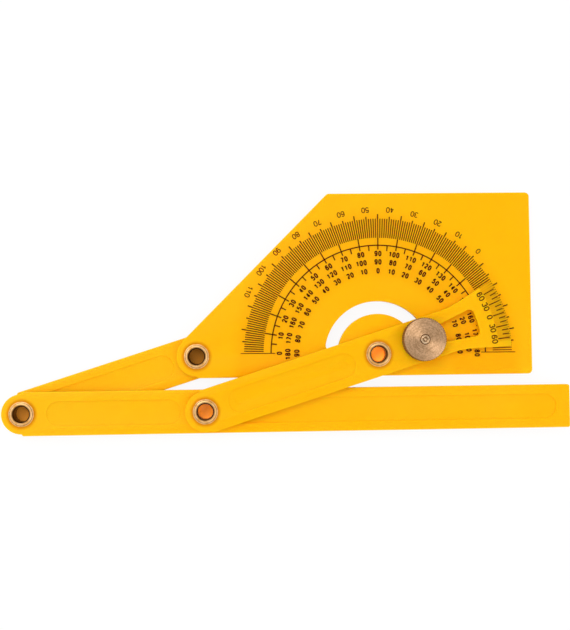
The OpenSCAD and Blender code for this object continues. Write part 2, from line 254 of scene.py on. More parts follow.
class StageSettings(bpy.types.PropertyGroup):
    """The pale floor, the soft lights and the camera."""

    camera_distance: size_mm("Camera distance", "Distance from the camera to the plate's back", 480)
    frame_height: size_mm("Frame height", "Height that the camera sees at that distance", 294.56)
    tilt_x: angle_deg("Tilt about X", "Turn of the object about X before the camera", -1.7189)
    tilt_y: angle_deg("Tilt about Y", "Turn of the object about Y before the camera", 2.5783)
    roll: angle_deg("Roll", "Turn of the object about the line of sight", 0.6875)
    aim_x: size_mm("Aim X", "Place of the centre pivot right of the picture's middle", 43)
    aim_y: size_mm("Aim Y", "Place of the centre pivot above the picture's middle", -18.26)
    sky: FloatProperty(name="Sky", description="Strength of the even pale sky", default=0.86, min=0)
    key_at: place_m("Key light", "Place of the key light", -0.48, 0.56, 1.2)
    key_power: power_w("Key power", "Watts of the key light", 5.4)
    fill_at: place_m("Fill light", "Place of the fill light", 0.66, -0.48, 1.15)
    fill_power: power_w("Fill power", "Watts of the fill light", 2.2)
    lamp_d: size_mm("Lamp size", "Diameter of each soft light", 900)
    paper: hex_colour("Paper", "Colour of the floor", "#FFFFFF")
    # Painted light on the paper at the bottom of the bores
    glow: hex_colour("Glow", "Colour of the paper below the bores", "#FFA43A")
    bore_glow: FloatVectorProperty(
        name="Glow in the bores", size=4, default=(1.4, 0.85, 2.4, 4.3), min=0,
        description="Brightness of the paper below the apex, heel, blade and centre bores",
    )
    paper_evenness: FloatProperty(
        name="Paper evenness", description="Share of the seen paper that no shadow reaches", default=0.9,
        min=0, max=1, subtype="FACTOR",
    )


def linear(hex_value):
    """An sRGB hex colour as linear red, green, blue and alpha."""
    values = [int(hex_value[i:i + 2], 16) / 255 for i in (1, 3, 5)]
    return tuple(v / 12.92 if v <= 0.04045 else ((v + 0.055) / 1.055) ** 2.4 for v in values) + (1.0,)


def brighter(colour, strength):
    """A linear colour with its light multiplied."""
    return tuple(strength * c for c in colour[:3]) + (1.0,)


def add_node(tree, kind, inputs=None, **settings):
    """Add a node with its settings. Set each input, or link it to a socket or to a node's first output."""
    node = tree.nodes.new(kind)
    for name, value in settings.items():
        setattr(node, name, value)
    for key, value in (inputs or {}).items():
        if isinstance(value, bpy.types.Node):
            value = next(socket for socket in value.outputs if socket.enabled)
        if isinstance(value, bpy.types.NodeSocket):
            tree.links.new(value, node.inputs[key])
        else:
            node.inputs[key].default_value = value
    return node


def new_material(name):
    """An empty node material, and its tree."""
    material = bpy.data.materials.new(name)
    material.use_nodes = True
    material.node_tree.nodes.clear()
    return material, material.node_tree


def centred_coordinates(tree, at, angle=0.0):
    """Object coordinates moved to a point of the object, in millimetres, and turned about Z."""
    place = add_node(tree, "ShaderNodeTexCoord").outputs["Object"]
    moved = add_node(tree, "ShaderNodeVectorMath", {0: place, 1: at}, operation="SUBTRACT")
    turn = {"Vector": moved, "Angle": -angle}
    turned = add_node(tree, "ShaderNodeVectorRotate", turn, rotation_type="Z_AXIS")
    return add_node(tree, "ShaderNodeVectorMath", {0: turned, "Scale": 1 / MM}, operation="SCALE")


def round_axis(tree, place):
    """Radius, angle and height of a place about the Z axis."""
    x, y, z = add_node(tree, "ShaderNodeSeparateXYZ", {"Vector": place}).outputs
    flat = add_node(tree, "ShaderNodeCombineXYZ", {"X": x, "Y": y})
    radius = add_node(tree, "ShaderNodeVectorMath", {0: flat}, operation="LENGTH")
    angle = add_node(tree, "ShaderNodeMath", {0: y, 1: x}, operation="ARCTAN2")
    return radius, angle, z


def radius_about(tree, at):
    """Distance from the vertical axis through a point, in millimetres."""
    return round_axis(tree, centred_coordinates(tree, at))[0]


def band_mask(tree, value, middle, half, soft, top=1.0):
    """A mask that is at its top where a value is within half of the middle, and fades over the soft width."""
    away = add_node(tree, "ShaderNodeMath", {0: value, 1: middle}, operation="SUBTRACT")
    off = add_node(tree, "ShaderNodeMath", {0: away}, operation="ABSOLUTE")
    start, end = half - soft / 2, half + soft / 2
    fade = {"Value": off, "From Min": start, "From Max": end, "To Min": top, "To Max": 0.0}
    return add_node(tree, "ShaderNodeMapRange", fade, interpolation_type="SMOOTHSTEP")


def finish_material(tree, shader_inputs, bumps=()):
    """Chain the bumps, given as height, distance and strength, into one shader."""
    for height, distance, strength in bumps:
        inputs = {"Height": height, "Distance": distance, "Strength": strength}
        if "Normal" in shader_inputs:
            inputs["Normal"] = shader_inputs["Normal"]
        shader_inputs["Normal"] = add_node(tree, "ShaderNodeBump", inputs)
    shader = add_node(tree, "ShaderNodeBsdfPrincipled", shader_inputs)
    add_node(tree, "ShaderNodeOutputMaterial", {"Surface": shader})


def moulded_plastic(name, settings, printed=False, over_scale=False):
    """Injection-moulded translucent polystyrene: a deep warm yellow that glows at its edges, with a semi-gloss
    skin and slight waves where it shrank. It turns paler in random flow streaks, and paler towards the apex end in
    a painted sheen."""
    material, tree = new_material(name)
    place = centred_coordinates(tree, centre_at)
    x = add_node(tree, "ShaderNodeSeparateXYZ", {"Vector": place}).outputs["X"]
    # The bars turn paler over their last 100 mm towards the apex end: a painted sheen
    pale_from, pale_to, palest = -60, -165, 0.8
    run = {"Value": x, "From Min": pale_from, "From Max": pale_to, "To Max": palest}
    far = add_node(tree, "ShaderNodeMapRange", run)
    # Lengths of the flow marks, of the shrinkage waves and of the skin's grain, in millimetres
    flow_length, wave_length, grain_length = 42, 15, 0.5
    streaky = {"Vector": place, "Scale": 1 / flow_length, "Detail": 2.0, "Roughness": 0.45}
    flow = add_node(tree, "ShaderNodeTexNoise", streaky)
    streaks = add_node(
        tree, "ShaderNodeMapRange", {"Value": flow, "From Min": 0.4, "From Max": 0.7, "To Max": 0.3}
    )
    # The paler share is the painted sheen towards the apex end plus the random flow streaks
    pale = add_node(tree, "ShaderNodeMath", {0: far, 1: streaks}, operation="ADD", use_clamp=True)
    melt = {"Factor": pale, "A": linear(settings.colour), "B": linear(settings.pale_colour)}
    tone = add_node(tree, "ShaderNodeMix", melt, data_type="RGBA")
    # Painted shade over the band of the printed scale
    if printed:
        tone = light_soaked_up(tree, tone, settings)
    # Painted contact shade round each washer
    for pivot in (centre_at, heel_at, blade_at, apex_at):
        tone = seam_round_washer(tree, tone, settings, pivot)
    if over_scale:
        tone = scale_seen_through(tree, tone, settings)
    wavy = {"Vector": place, "Scale": 1 / wave_length, "Detail": 1.0}
    waves = add_node(tree, "ShaderNodeTexNoise", wavy)
    grainy = {"Vector": place, "Scale": 1 / grain_length, "Detail": 2.0}
    grain = add_node(tree, "ShaderNodeTexNoise", grainy)
    sheen = {"Value": flow, "From Min": 0.3, "From Max": 0.7, "To Min": 0.32, "To Max": 0.44}
    shader_inputs = {
        "Base Color": tone,
        "Roughness": add_node(tree, "ShaderNodeMapRange", sheen),
        "IOR": 1.5,
        "Specular IOR Level": 0.06,
        "Subsurface Weight": 0.6,
        "Subsurface Radius": (1.0, 0.42, 0.08),
        "Subsurface Scale": settings.glow,
    }
    finish_material(tree, shader_inputs, [(waves, 0.05 * MM, 0.5), (grain, 0.004 * MM, 0.4)])
    return material


def light_soaked_up(tree, tone, settings):
    """Painted shade: a deeper plastic colour in the band of the printed scale, between the print start and end
    radii about the centre pivot.
    """
    middle = (settings.print_from + settings.print_to) / 2 / MM
    half = (settings.print_to - settings.print_from) / 2 / MM
    print_band_shade = band_mask(tree, radius_about(tree, centre_at), middle, half, soft=7.0)
    with_painted_shade = {"Factor": print_band_shade, "A": tone, "B": linear(settings.print_colour)}
    return add_node(tree, "ShaderNodeMix", with_painted_shade, data_type="RGBA")


def seam_round_washer(tree, tone, settings, pivot):
    """Painted contact shade: deepen the plastic close round a washer, fading out away from its axis."""
    start, end = settings.seam_from / MM, settings.seam_to / MM
    radius = radius_about(tree, pivot)
    fade = {"Value": radius, "From Min": start, "From Max": end, "To Min": 1.0, "To Max": 0.0}
    seam = add_node(tree, "ShaderNodeMapRange", fade, interpolation_type="SMOOTHSTEP")
    with_painted_shade = {"Factor": seam, "A": tone, "B": linear(settings.seam_colour)}
    return add_node(tree, "ShaderNodeMix", with_painted_shade, data_type="RGBA")


def scale_seen_through(tree, tone, settings):
    """Paint the arm's thin bevelled tip with the tint of the dark scale on the plate that shows through it."""
    radius, angle, _ = round_axis(tree, centred_coordinates(tree, centre_at, arm_angle))
    start, half_fade = settings.tip_from / MM, 0.5
    rise = {"Value": radius, "From Min": start - half_fade, "From Max": start + half_fade}
    band = add_node(tree, "ShaderNodeMapRange", rise, interpolation_type="SMOOTHSTEP")
    # The scale lies below the tip from 12 degrees under the arm's middle line to the tip's upper end
    near = band_mask(tree, angle, 4 * DEGREE, half=16 * DEGREE, soft=2 * DEGREE)
    within = add_node(tree, "ShaderNodeMath", {0: band, 1: near}, operation="MULTIPLY")
    tint = {"Factor": within, "A": tone, "B": linear(settings.tip_colour)}
    tinted = add_node(tree, "ShaderNodeMix", tint, data_type="RGBA")
    # Painted lines of the scale seen through the tip: one dark line in each degree, midway between the arm's own
    # degrees, and clearest at the thin edge
    degrees_round = 360.0
    turn = {0: angle, 1: degrees_round, 2: math.pi}
    wave = add_node(tree, "ShaderNodeMath", turn, operation="MULTIPLY_ADD")
    line = add_node(tree, "ShaderNodeMath", {0: wave}, operation="COSINE")
    thinning = {
        "Value": radius, "From Min": start + 3.5, "From Max": start + 6.5, "To Min": 0.1, "To Max": 0.6
    }
    clear = add_node(tree, "ShaderNodeMapRange", thinning)
    shown = add_node(tree, "ShaderNodeMath", {0: within, 1: clear}, operation="MULTIPLY")
    factor = add_node(tree, "ShaderNodeMath", {0: shown, 1: line}, operation="MULTIPLY", use_clamp=True)
    lined = {"Factor": factor, "A": tinted, "B": linear(settings.line_colour)}
    return add_node(tree, "ShaderNodeMix", lined, data_type="RGBA")


def pad_ink(name, hex_value):
    """Pad-printing ink: a thin, nearly matt film that is a little uneven where it was laid down."""
    material, tree = new_material(name)
    place = centred_coordinates(tree, centre_at)
    # The pad leaves specks of a thinner and lighter film, 0.8 mm apart
    speck_spacing, full = 0.8, linear(hex_value)
    specks = add_node(
        tree, "ShaderNodeTexNoise", {"Vector": place, "Scale": 1 / speck_spacing, "Detail": 3.0}
    )
    thin = add_node(
        tree, "ShaderNodeMapRange", {"Value": specks, "From Min": 0.3, "From Max": 0.75, "To Max": 0.25}
    )
    film = {"Factor": thin, "A": full, "B": brighter(full, 1.5)}
    tone = add_node(tree, "ShaderNodeMix", film, data_type="RGBA")
    finish_material(tree, {"Base Color": tone, "Roughness": 0.55, "Specular IOR Level": 0.05})
    return material


def drawn_brass(name, settings, at):
    """Drawn sheet brass, pale and bright where it was rolled over and worn dull in patches, with painted shade:
    dark brown down the flare into the barrel and in the crease under the lip."""
    material, tree = new_material(name)
    place = centred_coordinates(tree, at)
    radius, _, height = round_axis(tree, place)
    # The rolling tool leaves marks 0.3 mm apart that run round the axis, and wear leaves 1.8 mm patches
    mark_spacing, patch_size, bore = 0.3, 1.8, bore_r / MM
    ring_place = add_node(tree, "ShaderNodeCombineXYZ", {"X": radius, "Y": height})
    ringed = {"Vector": ring_place, "Scale": 1 / mark_spacing, "Detail": 1.0}
    rings = add_node(tree, "ShaderNodeTexNoise", ringed)
    patchy = {"Vector": place, "Scale": 1 / patch_size, "Detail": 3.0}
    patches = add_node(tree, "ShaderNodeTexNoise", patchy)
    worn = add_node(tree, "ShaderNodeMapRange", {"Value": patches, "From Min": 0.42, "From Max": 0.68})
    skin = {"Factor": worn, "A": linear(settings.brass), "B": linear(settings.dull)}
    metal = add_node(tree, "ShaderNodeMix", skin, data_type="RGBA")
    # Painted shade: dark brown down the flare into the barrel
    flare = {
        "Value": radius, "From Min": bore + 0.35, "From Max": bore + 1.15, "To Min": 1.0, "To Max": 0.0
    }
    inside = add_node(tree, "ShaderNodeMapRange", flare, interpolation_type="SMOOTHSTEP")
    # Painted shade in the crease where the lip meets the washer
    seam = band_mask(tree, radius, settings.lip_d / 2 / MM, half=0.12, soft=0.16, top=0.6)
    brown = add_node(tree, "ShaderNodeMath", {0: inside, 1: seam}, operation="MAXIMUM")
    shaded_brass = {"Factor": brown, "A": metal, "B": linear(settings.tarnish)}
    sheen = {"Value": patches, "From Min": 0.3, "From Max": 0.7, "To Min": 0.26, "To Max": 0.4}
    shader_inputs = {
        "Base Color": add_node(tree, "ShaderNodeMix", shaded_brass, data_type="RGBA"),
        "Metallic": 1.0,
        "Roughness": add_node(tree, "ShaderNodeMapRange", sheen),
    }
    finish_material(tree, shader_inputs, [(rings, 0.004 * MM, 0.4), (patches, 0.012 * MM, 0.3)])
    return material


def turned_bronze(name, settings, at, clean):
    """Bronze faced on a lathe: concentric tool marks that stretch each light into two opposite sectors, with
    darker metal in the grooves and small handling marks. Painted shade darkens the knurled side and the rim, the
    gap round the stud and the stud's dimple."""
    material, tree = new_material(name)
    place = centred_coordinates(tree, at)
    radius, angle, height = round_axis(tree, place)
    # The facing tool moves 0.25 mm a turn, and each mark fades in and out round the face
    tool_feed, speck_size = 0.25, 0.7
    slow_angle = add_node(tree, "ShaderNodeMath", {0: angle, 1: 0.5}, operation="MULTIPLY")
    mark_place = add_node(tree, "ShaderNodeCombineXYZ", {"X": radius, "Y": slow_angle, "Z": height})
    turned = {"Vector": mark_place, "Scale": 1 / tool_feed, "Detail": 3.0}
    marks = add_node(tree, "ShaderNodeTexNoise", turned)
    handled = {"Vector": place, "Scale": 1 / speck_size, "Detail": 4.0}
    specks = add_node(tree, "ShaderNodeTexNoise", handled)
    depth = add_node(tree, "ShaderNodeMath", {0: marks, 1: specks}, operation="MULTIPLY")
    cut = {"Value": depth, "From Min": 0.16, "From Max": 0.36, "To Min": 1.0, "To Max": 0.0}
    groove = add_node(tree, "ShaderNodeMapRange", cut)
    skin = {"Factor": groove, "A": linear(clean), "B": linear(settings.groove)}
    face = add_node(tree, "ShaderNodeMix", skin, data_type="RGBA")
    # Painted shade on the knurled side and the rim bevel, from just inside the outer radius outwards
    outer = (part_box("thumb_nut")[1].x - nut_at.x) / MM
    worn = {"Value": radius, "From Min": outer - 0.45, "From Max": outer - 0.25, "To Max": 0.95}
    rim = add_node(tree, "ShaderNodeMapRange", worn, interpolation_type="SMOOTHSTEP")
    edged = {"Factor": rim, "A": face, "B": linear(settings.edge)}
    shaded = add_node(tree, "ShaderNodeMix", edged, data_type="RGBA")
    # Painted shade on the dimple's wall and in the gap round the stud
    wall_at = (settings.dimple_d + settings.dimple_floor_d) / 4 / MM
    gap_at = (settings.hole_d + settings.mouth_d) / 4 / MM
    dimple = band_mask(tree, radius, wall_at, half=0.25, soft=0.25, top=0.8)
    gap = band_mask(tree, radius, gap_at, half=0.12, soft=0.14)
    dirt = add_node(tree, "ShaderNodeMath", {0: dimple, 1: gap}, operation="MAXIMUM")
    hollow_shaded = {"Factor": dirt, "A": shaded, "B": linear(settings.dirt)}
    sheen = {"Value": specks, "From Min": 0.3, "From Max": 0.7, "To Min": 0.34, "To Max": 0.48}
    # A quarter turn lays the highlight across the tool marks
    shader_inputs = {
        "Base Color": add_node(tree, "ShaderNodeMix", hollow_shaded, data_type="RGBA"),
        "Metallic": 1.0,
        "Roughness": add_node(tree, "ShaderNodeMapRange", sheen),
        "Anisotropic": 0.9,
        "Anisotropic Rotation": 0.25,
        "Tangent": add_node(tree, "ShaderNodeTangent", direction_type="RADIAL", axis="Z"),
    }
    finish_material(tree, shader_inputs, [(marks, 0.012 * MM, 0.5), (specks, 0.01 * MM, 0.3)])
    return material


def paper_sheet(name, settings):
    """Matt white paper. The camera and the metal see it nearly evenly white, with a faint shadow."""
    material, tree = new_material(name)
    path = add_node(tree, "ShaderNodeLightPath").outputs
    bent = {0: path["Is Glossy Ray"], 1: path["Is Transmission Ray"]}
    mirrored = add_node(tree, "ShaderNodeMath", bent, operation="MAXIMUM")
    straight = {0: path["Is Camera Ray"], 1: mirrored}
    seen = add_node(tree, "ShaderNodeMath", straight, operation="MAXIMUM")
    # Only light that has come through the plastic reaches the paper at the bottom of a bore, and there that orange
    # light is painted on the paper, at its own strength in each bore
    near_sky = add_node(tree, "ShaderNodeAmbientOcclusion", {"Distance": 12 * MM}, samples=24).outputs["AO"]
    shade = {"Value": near_sky, "From Min": 0.32, "From Max": 0.36, "To Min": 1.0, "To Max": 0.0}
    hidden = add_node(tree, "ShaderNodeMapRange", shade)
    spot_r = bore_r / MM + 0.8
    paper, glow = linear(settings.paper), linear(settings.glow)
    tone, bare = paper, 1.0
    for pivot, strength in zip((apex_at, heel_at, blade_at, centre_at), settings.bore_glow):
        spot = band_mask(tree, radius_about(tree, pivot), 0.0, half=spot_r, soft=0.4)
        deep = add_node(tree, "ShaderNodeMath", {0: spot, 1: hidden}, operation="MULTIPLY")
        lit = {"Factor": deep, "A": tone, "B": brighter(glow, strength)}
        tone = add_node(tree, "ShaderNodeMix", lit, data_type="RGBA")
        bare = add_node(tree, "ShaderNodeMath", {0: bare, 1: deep}, operation="SUBTRACT")
    shown = {"Factor": seen, "A": paper, "B": tone}
    colour = add_node(tree, "ShaderNodeMix", shown, data_type="RGBA")
    matt = add_node(tree, "ShaderNodeBsdfDiffuse", {"Color": colour})
    even = add_node(tree, "ShaderNodeEmission", {"Color": paper})
    seen_bare = add_node(tree, "ShaderNodeMath", {0: seen, 1: bare}, operation="MULTIPLY")
    evened = {0: seen_bare, 1: settings.paper_evenness}
    share = add_node(tree, "ShaderNodeMath", evened, operation="MULTIPLY")
    shader = add_node(tree, "ShaderNodeMixShader", {0: share, 1: matt, 2: even})
    add_node(tree, "ShaderNodeOutputMaterial", {"Surface": shader})
    return material


def link_piece(mesh, material, sharp_angle=35 * DEGREE):
    """An object at the origin that shows a finished mesh, smooth except at its sharp edges."""
    mesh.materials.clear()
    mesh.materials.append(material)
    mesh.shade_smooth()
    mesh.set_sharp_from_angle(angle=sharp_angle)
    piece = bpy.data.objects.new(mesh.name, mesh)
    bpy.context.scene.collection.objects.link(piece)
    return piece


def seat(piece, body, slot, *nodes):
    """Let a piece ride on its body, and let it stand for the nodes that it shows better. The slot is not used."""
    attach(piece, body)
    if nodes:
        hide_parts(*nodes)


def mesh_from(bm, name):
    """A mesh data block from a bmesh, which is freed."""
    mesh = bpy.data.meshes.new(name)
    bm.to_mesh(mesh)
    bm.free()
    return mesh


def merge_mesh(bm, mesh):
    """Move a mesh into a bmesh."""
    bm.from_mesh(mesh)
    bpy.data.meshes.remove(mesh)


def wall_height(edge):
    """Height of the lowest wall that meets an edge, or zero where no wall does."""
    heights = []
    for face in edge.link_faces:
        if abs(face.normal.z) < WALL_SLOPE:
            levels = [vert.co.z for vert in face.verts]
            heights.append(max(levels) - min(levels))
    return min(heights, default=0.0)


def rounded_copy(node, edge_radius, pocket_radius):
    """A merged copy of a moulded node, with rounded edges: small at its shallow pockets, larger elsewhere."""
    pocket_limit, crease = 1 * MM, 12 * DEGREE
    merge_distance, flat_angle = 0.001 * MM, 0.5 * DEGREE
    bm = bmesh.new()
    bm.from_mesh(frame["nodes"][node].data)
    bmesh.ops.remove_doubles(bm, verts=bm.verts, dist=merge_distance)
    bmesh.ops.dissolve_limit(bm, angle_limit=flat_angle, verts=bm.verts, edges=bm.edges)
    for radius, is_pocket in ((pocket_radius, True), (edge_radius, False)):
        bm.normal_update()
        chosen = [
            edge for edge in bm.edges
            if edge.is_manifold and edge.calc_face_angle(0.0) > crease
            and sum(abs(face.normal.z) < WALL_SLOPE for face in edge.link_faces) == 1
            and (wall_height(edge) < pocket_limit) == is_pocket
        ]
        bmesh.ops.bevel(
            bm, geom=chosen, offset=radius, offset_type="OFFSET", segments=3, profile=0.5,
            affect="EDGES", clamp_overlap=True,
        )
    return mesh_from(bm, node + "_moulding")


def turned_mesh(name, profile, at, steps=96):
    """A solid of revolution about a vertical axis. The profile's points are radius and height, and run round
    the section with the material on their left. Where a point lies on the axis, the mesh closes there."""
    bm = bmesh.new()
    rings = []
    for i in range(steps):
        angle = FULL_TURN * i / steps
        rings.append([
            bm.verts.new((at.x + r * math.cos(angle), at.y + r * math.sin(angle), z)) for r, z in profile
        ])
    closed = profile[0][0] > 0
    count = len(profile) if closed else len(profile) - 1
    for i in range(steps):
        here, there = rings[i], rings[(i + 1) % steps]
        for k in range(count):
            m = (k + 1) % len(profile)
            bm.faces.new((here[k], there[k], there[m], here[m]))
    bmesh.ops.remove_doubles(bm, verts=bm.verts, dist=0.0005 * MM)
    bmesh.ops.dissolve_degenerate(bm, edges=bm.edges, dist=0.0001 * MM)
    bmesh.ops.recalc_face_normals(bm, faces=bm.faces)
    return mesh_from(bm, name)


def oval_points(centre, across, up, start, end, count=8, squareness=1.0):
    """Points of an oval arc between two angles in degrees, squarer as the squareness falls below one."""
    points = []
    for i in range(count + 1):
        angle = (start + (end - start) * i / count) * DEGREE
        x, y = math.cos(angle), math.sin(angle)
        points.append((
            centre[0] + across * math.copysign(abs(x) ** squareness, x),
            centre[1] + up * math.copysign(abs(y) ** squareness, y),
        ))
    return points


def arc_points(centre, radius, start, end, count=8):
    """Points of a round arc from a start to an end angle in degrees."""
    return oval_points(centre, radius, radius, start, end, count)


def new_tree(name, *labels):
    """A geometry node group with a geometry output and labelled inputs."""
    tree = bpy.data.node_groups.new(name, "GeometryNodeTree")
    tree.interface.new_socket("Geometry", in_out="OUTPUT", socket_type="NodeSocketGeometry")
    for label in labels:
        kind = SOCKET_KINDS.get(label, "NodeSocketFloat")
        tree.interface.new_socket(label, in_out="INPUT", socket_type=kind)
    return tree, add_node(tree, "NodeGroupInput").outputs


def spread_round(tree, points, shape, angle, material):
    """End a geometry tree: a shape on each point, turned about Z, in Realize Instances and Set Material."""
    rotation = add_node(tree, "ShaderNodeCombineXYZ", {"Z": angle})
    placed = {"Points": points, "Instance": shape, "Rotation": rotation}
    spread = add_node(tree, "GeometryNodeInstanceOnPoints", placed)
    real = add_node(tree, "GeometryNodeRealizeInstances", {"Geometry": spread})
    painted = add_node(tree, "GeometryNodeSetMaterial", {"Geometry": real, "Material": material})
    add_node(tree, "NodeGroupOutput", {"Geometry": painted})


def grown_mesh(name, tree, values):
    """The plain mesh that a geometry tree makes from named input values."""
    host = bpy.data.objects.new(name + "_host", bpy.data.meshes.new(name + "_host"))
    bpy.context.scene.collection.objects.link(host)
    modifier = host.modifiers.new("grow", "NODES")
    modifier.node_group = tree
    for item in tree.interface.items_tree:
        if item.in_out == "INPUT" and item.name in values:
            modifier[item.identifier] = values[item.name]
    host.update_tag()
    graph = bpy.context.evaluated_depsgraph_get()
    mesh = bpy.data.meshes.new_from_object(host.evaluated_get(graph), depsgraph=graph)
    mesh.name = name
    empty = host.data
    bpy.data.objects.remove(host)
    bpy.data.meshes.remove(empty)
    return mesh


def radial_tick_tree(material):
    """Geometry nodes that lay flat bars like the spokes of a wheel, at a fixed angle from one to the next."""
    tree, given = new_tree(
        "radial_ticks", "Count", "First Angle", "Step", "Inner Radius", "Outer Radius", "Width", "Thickness"
    )
    ends = {0: given["Outer Radius"], 1: given["Inner Radius"]}
    length = add_node(tree, "ShaderNodeMath", ends, operation="SUBTRACT")
    total = add_node(tree, "ShaderNodeMath", ends, operation="ADD")
    middle = add_node(tree, "ShaderNodeMath", {0: total, 1: 0.5}, operation="MULTIPLY")
    sides = {"X": length, "Y": given["Width"], "Z": given["Thickness"]}
    size = add_node(tree, "ShaderNodeCombineXYZ", sides)
    bar = add_node(tree, "GeometryNodeMeshCube", {"Size": size})
    place = add_node(tree, "ShaderNodeCombineXYZ", {"X": middle})
    moved = add_node(tree, "GeometryNodeTransform", {"Geometry": bar, "Translation": place})
    points = add_node(tree, "GeometryNodePoints", {"Count": given["Count"]})
    number = add_node(tree, "GeometryNodeInputIndex")
    turned = add_node(tree, "ShaderNodeMath", {0: number, 1: given["Step"]}, operation="MULTIPLY")
    angle = add_node(tree, "ShaderNodeMath", {0: turned, 1: given["First Angle"]}, operation="ADD")
    spread_round(tree, points, moved, angle, material)
    return tree


def knurl_tree(material):
    """Geometry nodes that set a ring of straight teeth round a vertical axis."""
    tree, given = new_tree(
        "knurl_teeth", "Count", "Root Radius", "Tooth Height", "Tooth Width", "Length", "Bevel", "Middle"
    )
    # A tooth starts as a triangular bar with corners one from its axis, and its ends taper with the rims
    shape = {"Vertices": 3, "Side Segments": 1, "Radius": 1.0, "Depth": 2.0}
    prism = add_node(tree, "GeometryNodeMeshCylinder", shape, fill_type="TRIANGLE_FAN")
    place = add_node(tree, "GeometryNodeInputPosition")
    out, across, up = add_node(tree, "ShaderNodeSeparateXYZ", {"Vector": place}).outputs
    crest = add_node(tree, "ShaderNodeMapRange", {"Value": out, "From Min": -0.5, "From Max": 1.0})
    rise = add_node(tree, "ShaderNodeMath", {0: crest, 1: given["Tooth Height"]}, operation="MULTIPLY")
    x = add_node(tree, "ShaderNodeMath", {0: rise, 1: given["Root Radius"]}, operation="ADD")
    base_width = math.sqrt(3)
    side = add_node(tree, "ShaderNodeMath", {0: across, 1: 1 / base_width}, operation="MULTIPLY")
    y = add_node(tree, "ShaderNodeMath", {0: side, 1: given["Tooth Width"]}, operation="MULTIPLY")
    half = add_node(tree, "ShaderNodeMath", {0: given["Length"], 1: 0.5}, operation="MULTIPLY")
    cut = add_node(tree, "ShaderNodeMath", {0: crest, 1: given["Bevel"]}, operation="MULTIPLY")
    reach = add_node(tree, "ShaderNodeMath", {0: half, 1: cut}, operation="SUBTRACT")
    z = add_node(tree, "ShaderNodeMath", {0: up, 1: reach}, operation="MULTIPLY")
    target = add_node(tree, "ShaderNodeCombineXYZ", {"X": x, "Y": y, "Z": z})
    tooth = add_node(tree, "GeometryNodeSetPosition", {"Geometry": prism, "Position": target})
    ring = {"Count": given["Count"], "Position": given["Middle"]}
    points = add_node(tree, "GeometryNodePoints", ring)
    number = add_node(tree, "GeometryNodeInputIndex")
    step = add_node(tree, "ShaderNodeMath", {0: FULL_TURN, 1: given["Count"]}, operation="DIVIDE")
    angle = add_node(tree, "ShaderNodeMath", {0: number, 1: step}, operation="MULTIPLY")
    spread_round(tree, points, tooth, angle, material)
    return tree


def lay_ticks(bm, tree, thickness, count, first, step, inner, outer, width):
    """Add a series of ticks to a print, at a first angle and a step in radians, between two radii."""
    merge_mesh(bm, grown_mesh("ticks", tree, {
        "Count": count, "First Angle": first, "Step": step, "Inner Radius": inner, "Outer Radius": outer,
        "Width": width, "Thickness": thickness,
    }))


def add_ribbon(bm, points, width, thickness):
    """Add a closed flat slab that follows a line of points, or goes round it where its two ends meet."""
    points = [Vector(point) for point in points]
    looped = (points[0] - points[-1]).length < PRINT_LIFT
    if looped:
        points.pop()
    count = len(points)
    rings = []
    for i, point in enumerate(points):
        steps = []
        if looped or i > 0:
            steps.append((point - points[i - 1]).normalized())
        if looped or i < count - 1:
            steps.append((points[(i + 1) % count] - point).normalized())
        along = sum(steps, Vector((0, 0))).normalized()
        side = Vector((-along.y, along.x)) * (width / 2 / max(0.5, along.dot(steps[0])))
        rings.append([
            bm.verts.new((*(point + side * edge), level * thickness / 2))
            for edge, level in ((-1, -1), (1, -1), (1, 1), (-1, 1))
        ])
    following = rings[1:] + rings[:1] if looped else rings[1:]
    for here, there in zip(rings, following):
        for k in range(4):
            m = (k + 1) % 4
            bm.faces.new((here[k], here[m], there[m], there[k]))
    if not looped:
        bm.faces.new(rings[0][::-1])
        bm.faces.new(rings[-1])


def bow(x, y, across, up, start, end):
    """One squarish bow of a digit, with a point about every fifteen degrees."""
    count, squareness = max(8, round(abs(end - start) / 15)), 0.88
    return oval_points((x, y), across, up, start, end, count, squareness)


# The middle lines of each digit's strokes, in a box from -1 to 1 across and up
DIGIT_STROKES = {
    "0": (bow(0, 0, 1, 1, 90, 450),),
    "1": (((0.33, -1), (0.33, 1)), ((0.33, 0.92), (-0.6, 0.42))),
    "2": (bow(0, 0.42, 0.95, 0.58, 172, -25) + [(-0.88, -0.92)], ((-1, -1), (1, -1))),
    "3": (bow(0, 0.5, 0.88, 0.5, 160, -80), bow(0, -0.47, 0.97, 0.53, 80, -160)),
    "4": (((0.42, -1), (0.42, 1)), ((0.42, 0.95), (-0.88, -0.38)), ((-1, -0.45), (1, -0.45))),
    "5": (((0.85, 1), (-0.7, 1)), ((-0.7, 1), (-0.84, 0)), bow(0, -0.36, 0.95, 0.64, 150, -155)),
    "6": (bow(0, -0.4, 0.97, 0.6, 90, 450), bow(0, 0, 0.97, 1, 35, 190)),
    "7": (((-0.95, 1), (1, 1)), ((0.9, 0.95), (-0.3, -1))),
    "8": (bow(0, 0.5, 0.84, 0.5, 90, 450), bow(0, -0.46, 0.97, 0.54, 90, 450)),
    "9": (bow(0, 0.4, 0.97, 0.6, 90, 450), bow(0, 0, 0.97, 1, -145, 10)),
}


def write_number(bm, text, radius, angle, lettering, thickness, lag=0.0, inverted=False):
    """Add a number to a print, at a radius and an angle, with its top outwards or, inverted, inwards.
    The lettering is a digit's height and width, the pitch from digit to digit, and the stroke."""
    height, width, pitch, stroke = lettering
    up = Vector((math.cos(angle), math.sin(angle)))
    middle = up * radius
    if inverted:
        up = -up
    right = Vector((up.y, -up.x))
    for i, digit in enumerate(text):
        start = middle + right * ((i - (len(text) - 1) / 2) * pitch - lag)
        for line in DIGIT_STROKES[digit]:
            points = [
                start + right * (x * (width - stroke) / 2) + up * (y * (height - stroke) / 2) for x, y in line
            ]
            add_ribbon(bm, points, stroke, thickness)


